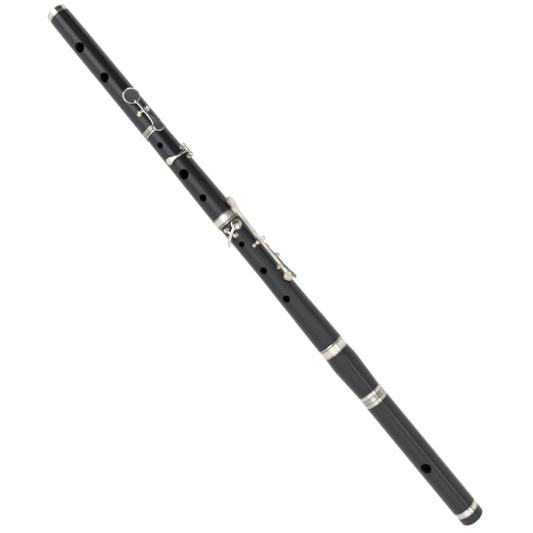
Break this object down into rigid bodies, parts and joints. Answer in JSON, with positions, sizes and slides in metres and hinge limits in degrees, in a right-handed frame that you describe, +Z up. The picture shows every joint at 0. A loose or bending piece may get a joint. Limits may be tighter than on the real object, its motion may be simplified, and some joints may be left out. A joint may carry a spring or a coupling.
{
  "type": "concert flute",
  "caption": "Conical-bore wooden transverse flute in separate joints, with metal socket rings, a tuning slide and post-mounted closed keys.",
  "frame": {"origin": "on the table under the middle of the flute's length; the barrel rests at z = 0", "axes": "+X along the bore from the foot end to the head cap, +Y to the player's side with the long keys, +Z up"},
  "size_m": [0.6648, 0.0361, 0.0324],
  "materials": {
    "blackwood": "oiled and polished near-black hardwood with fine straight grain",
    "nickel_silver": "polished nickel silver rings with turned grooves and light wear",
    "key_silver": "polished nickel silver keywork, warm white and lightly tarnished",
    "steel": "plain steel pins and springs",
    "pad_leather": "soft pale pad skin",
    "cork": "natural cork",
    "thread": "waxed thread lapping"
  },
  "bodies": {
    "upper_body": {"upper_body": "blackwood", "gsharp_key_post_1": "key_silver", "gsharp_key_post_2": "key_silver", "gsharp_key_axle": "steel", "bflat_key_post_1": "key_silver", "bflat_key_post_2": "key_silver", "bflat_key_axle": "steel", "c_key_post_1": "key_silver", "c_key_post_2": "key_silver", "c_key_axle": "steel", "c_key_guide": "key_silver"},
    "lower_tenon_lapping": {"lower_tenon_lapping": "thread"},
    "lower_body": {"lower_body": "blackwood", "lower_body_ring": "nickel_silver", "f_key_post_1": "key_silver", "f_key_post_2": "key_silver", "f_key_axle": "steel"},
    "foot_tenon_lapping": {"foot_tenon_lapping": "thread"},
    "foot": {"foot_joint": "blackwood", "foot_end_ring": "nickel_silver", "foot_socket_ring": "nickel_silver", "eb_key_post_1": "key_silver", "eb_key_post_2": "key_silver", "eb_key_axle": "steel"},
    "upper_tenon_lapping": {"upper_tenon_lapping": "thread"},
    "barrel": {"barrel": "blackwood", "barrel_lower_ring": "nickel_silver", "barrel_upper_ring": "nickel_silver"},
    "slide_tube": {"slide_tube": "nickel_silver"},
    "head": {"head_joint": "blackwood", "head_lining": "nickel_silver", "head_lower_ring": "nickel_silver", "head_end_ring": "nickel_silver"},
    "head_cap": {"head_cap": "blackwood"},
    "stopper_cork": {"stopper_cork": "cork"},
    "eb_key": {"eb_key_lever": "key_silver", "eb_key_pad": "pad_leather", "eb_key_spring": "steel"},
    "f_key": {"f_key_lever": "key_silver", "f_key_pad": "pad_leather", "f_key_spring": "steel"},
    "gsharp_key": {"gsharp_key_lever": "key_silver", "gsharp_key_pad": "pad_leather", "gsharp_key_spring": "steel"},
    "bflat_key": {"bflat_key_lever": "key_silver", "bflat_key_pad": "pad_leather", "bflat_key_spring": "steel"},
    "c_key": {"c_key_lever": "key_silver", "c_key_pad": "pad_leather", "c_key_spring": "steel"}
  },
  "joints": [
    {"name": "lower_body_twist", "type": "hinge", "parent": "upper_body", "child": "lower_tenon_lapping", "pos_m": [0, 0, 0.01452], "axis": [1, 0, 0], "range_deg": [-25, 25]},
    {"name": "lower_body_slide", "type": "slide", "parent": "lower_tenon_lapping", "child": "lower_body", "axis": [-1, 0, 0], "range_m": [0, 0.032]},
    {"name": "foot_twist", "type": "hinge", "parent": "lower_body", "child": "foot_tenon_lapping", "pos_m": [0, 0, 0.01452], "axis": [1, 0, 0], "range_deg": [-30, 30]},
    {"name": "foot_slide", "type": "slide", "parent": "foot_tenon_lapping", "child": "foot", "axis": [-1, 0, 0], "range_m": [0, 0.026]},
    {"name": "barrel_twist", "type": "hinge", "parent": "upper_body", "child": "upper_tenon_lapping", "pos_m": [0, 0, 0.01452], "axis": [1, 0, 0], "range_deg": [-25, 25]},
    {"name": "barrel_slide", "type": "slide", "parent": "upper_tenon_lapping", "child": "barrel", "axis": [1, 0, 0], "range_m": [0, 0.03]},
    {"name": "head_twist", "type": "hinge", "parent": "barrel", "child": "slide_tube", "pos_m": [0, 0, 0.01452], "axis": [1, 0, 0], "range_deg": [-45, 45]},
    {"name": "head_slide", "type": "slide", "parent": "slide_tube", "child": "head", "axis": [1, 0, 0], "range_m": [0, 0.025]},
    {"name": "cap_slide", "type": "slide", "parent": "head", "child": "head_cap", "axis": [1, 0, 0], "range_m": [0, 0.018]},
    {"name": "cork_slide", "type": "slide", "parent": "head", "child": "stopper_cork", "axis": [1, 0, 0], "range_m": [-0.004, 0.006]},
    {"name": "eb_key_pivot", "type": "hinge", "parent": "foot", "child": "eb_key", "pos_m": [-0.1948, 0.00485, 0.02861], "axis": [0, 0.9455, -0.3256], "range_deg": [0, 6], "stiffness_Nm_per_rad": 0.1, "springref_deg": -8.59},
    {"name": "f_key_pivot", "type": "hinge", "parent": "lower_body", "child": "f_key", "pos_m": [-0.138, 0.01375, 0.02346], "axis": [1, 0, 0], "range_deg": [0, 7], "stiffness_Nm_per_rad": 0.1, "springref_deg": -8.59},
    {"name": "gsharp_key_pivot", "type": "hinge", "parent": "upper_body", "child": "gsharp_key", "pos_m": [-0.04535, -0.0061, 0.02888], "axis": [0.9092, 0.3832, 0.1626], "range_deg": [0, 9], "stiffness_Nm_per_rad": 0.1, "springref_deg": -8.59},
    {"name": "bflat_key_pivot", "type": "hinge", "parent": "upper_body", "child": "bflat_key", "pos_m": [0.0007, 0.01474, 0.00857], "axis": [0, -0.3746, -0.9272], "range_deg": [0, 7], "stiffness_Nm_per_rad": 0.1, "springref_deg": -8.59},
    {"name": "c_key_pivot", "type": "hinge", "parent": "upper_body", "child": "c_key", "pos_m": [-0.0212, 0.01236, 0.02453], "axis": [0, -0.6293, 0.7771], "range_deg": [0, 3], "stiffness_Nm_per_rad": 0.1, "springref_deg": -8.59}
  ]
}
